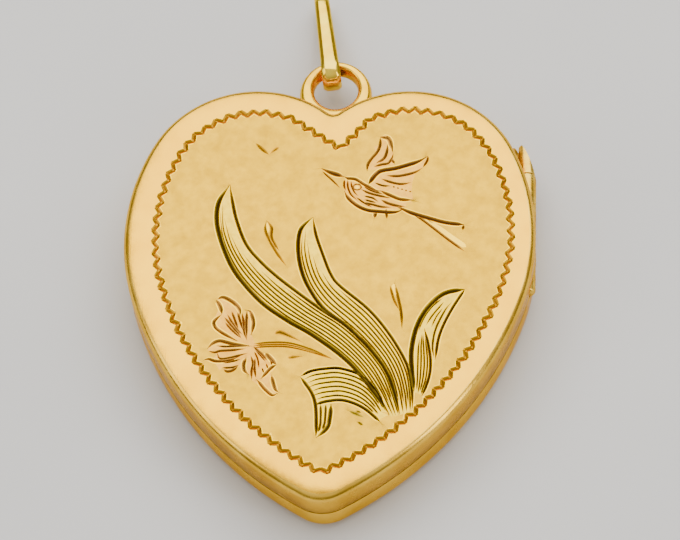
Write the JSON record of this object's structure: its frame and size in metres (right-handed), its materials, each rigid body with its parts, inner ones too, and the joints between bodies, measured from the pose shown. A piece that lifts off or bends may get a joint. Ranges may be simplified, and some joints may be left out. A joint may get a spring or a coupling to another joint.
{
  "type": "heart locket",
  "caption": "Engraved heart locket of gold-coloured metal with hinged shells, inner photograph frames, a ring in the cleft and a swinging strap bail.",
  "frame": {"origin": "on the flat back, on the heart's axis at its mid-height", "axes": "+Z out of the engraved front, +Y from the tip towards the cleft and the bail, +X towards the hinge"},
  "size_m": [0.025, 0.0361, 0.0045],
  "materials": {
    "shell_gold": "rolled gold, polished border round a satin engraved panel",
    "inner_gold": "rolled gold, soft polish",
    "hinge_gold": "pale gold, filed",
    "ring_gold": "warm gold, polished",
    "bail_gold": "pale yellow gold, polished",
    "celluloid": "clear sheet, slightly yellowed",
    "photo_paper": "blank cream card"
  },
  "bodies": {
    "back": {"back_cover": "shell_gold", "snap_rim": "inner_gold", "catch_bead": "inner_gold", "back_knuckle_lower": "hinge_gold", "back_knuckle_middle": "hinge_gold", "back_knuckle_upper": "hinge_gold", "hinge_pin": "hinge_gold", "bail_ring": "ring_gold", "back_frame": "inner_gold", "back_glazing": "celluloid", "back_photo": "photo_paper"},
    "front": {"front_cover": "shell_gold", "front_knuckle_lower": "hinge_gold", "front_knuckle_upper": "hinge_gold", "front_frame": "inner_gold", "front_glazing": "celluloid", "front_photo": "photo_paper"},
    "bail": {"bail": "bail_gold"}
  },
  "joints": [
    {"name": "cover_hinge", "type": "hinge", "parent": "back", "child": "front", "pos_m": [0.01195, 0.00568, 0.00225], "axis": [0, 1, 0], "range_deg": [0, 110]},
    {"name": "bail_swing", "type": "hinge", "parent": "back", "child": "bail", "pos_m": [-0.0004, 0.0163, 0.00225], "axis": [0.9903, 0.1392, 0], "range_deg": [-115, 140]}
  ]
}
